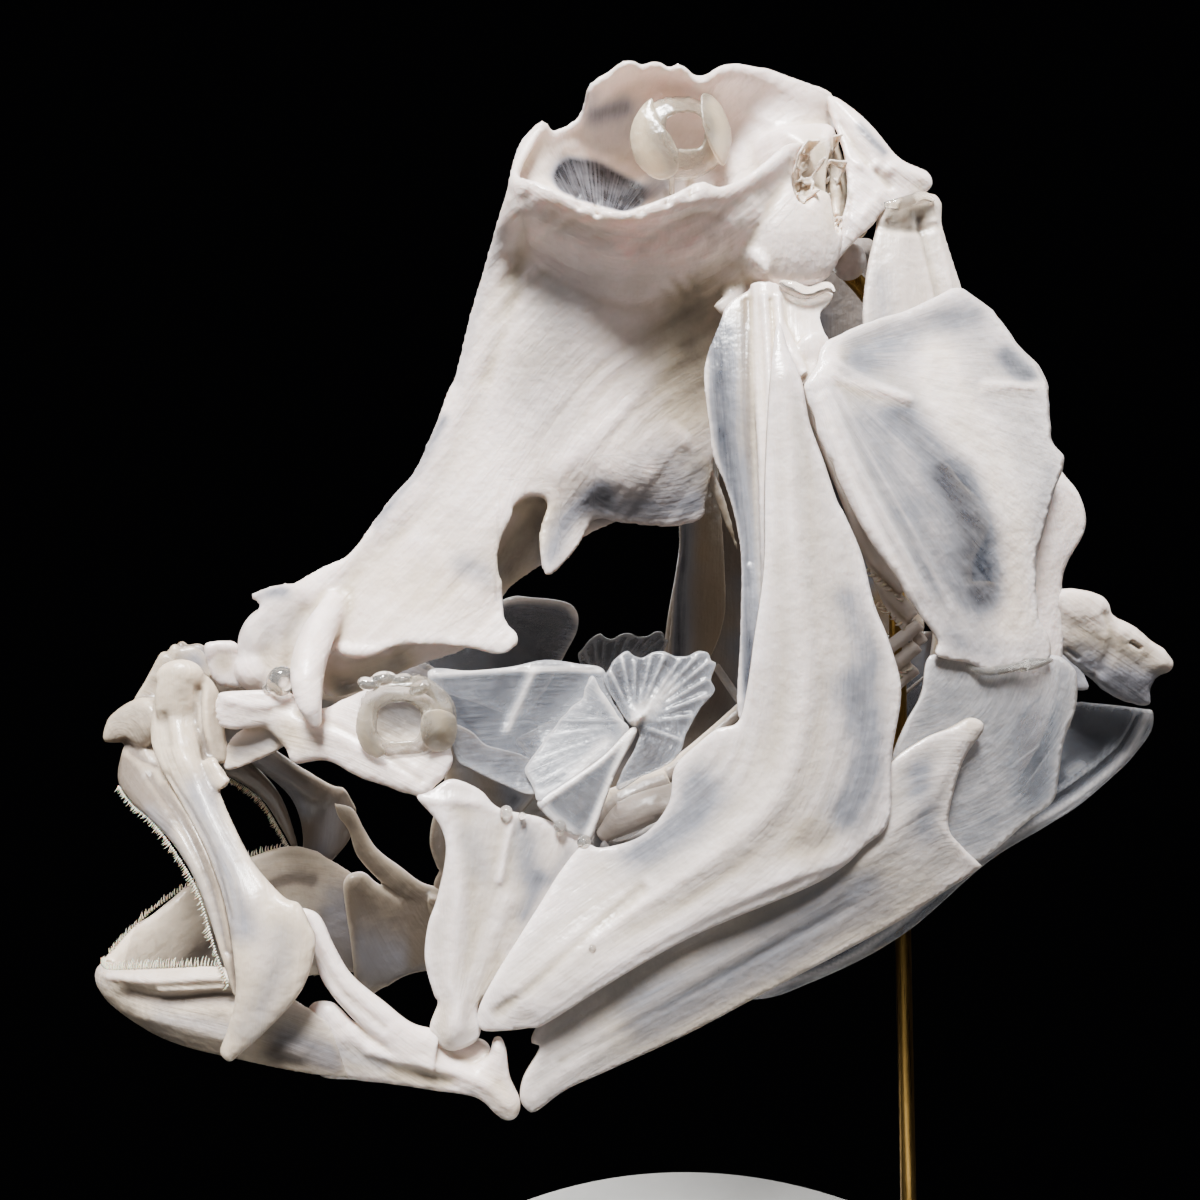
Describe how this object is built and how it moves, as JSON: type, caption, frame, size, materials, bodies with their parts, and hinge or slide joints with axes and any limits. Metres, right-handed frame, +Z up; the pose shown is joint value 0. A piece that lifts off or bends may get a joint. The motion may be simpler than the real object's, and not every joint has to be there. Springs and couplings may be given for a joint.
{
  "type": "flounder skull",
  "caption": "Cleaned skull of a left-eyed flatfish, mouth open, each bone on its own, held over a flat black base by a thin brass rod.",
  "frame": {"origin": "centre of the base's underside", "axes": "+X towards the fish's tail, -Y the eyed (left) side, +Z up"},
  "size_m": [0.1538, 0.076, 0.2126],
  "materials": {
    "bone": "warm white degreased bone, satin",
    "clear_bone": "thin translucent bone with growth lines, smooth",
    "brass": "drawn rod, lightly tarnished",
    "black_lacquer": "black lacquer, satin"
  },
  "bodies": {
    "root": {"neurocranium": "bone", "nasal": "bone", "urohyal": "clear_bone", "sclerotic_ring_upper": "clear_bone", "sclerotic_ring_lower": "clear_bone", "premaxilla_left": "bone", "premaxilla_right": "bone", "maxilla_left": "bone", "maxilla_right": "bone", "dentary_left": "bone", "dentary_right": "bone", "articular_left": "bone", "articular_right": "bone", "palatine_left": "bone", "palatine_right": "bone", "quadrate_left": "bone", "quadrate_right": "bone", "entopterygoid_left": "clear_bone", "entopterygoid_right": "clear_bone", "symplectic_left": "clear_bone", "symplectic_right": "clear_bone", "metapterygoid_left": "clear_bone", "metapterygoid_right": "clear_bone", "hyomandibula_left": "bone", "hyomandibula_right": "bone", "preopercle_left": "bone", "preopercle_right": "bone", "opercle_left": "clear_bone", "opercle_right": "clear_bone", "subopercle_left": "clear_bone", "subopercle_right": "clear_bone", "interopercle_left": "bone", "interopercle_right": "bone", "hyoid_left": "clear_bone", "hyoid_right": "clear_bone", "cleithrum_left": "bone", "cleithrum_right": "bone", "scapula_left": "bone", "scapula_right": "bone", "supracleithrum_left": "bone", "supracleithrum_right": "bone", "posttemporal_left": "bone", "posttemporal_right": "bone", "gill_arches_upper_left": "bone", "gill_arches_upper_right": "bone", "gill_arches_lower_left": "bone", "gill_arches_lower_right": "bone", "stand_base": "black_lacquer", "stand_rod": "brass"}
  },
  "joints": []
}
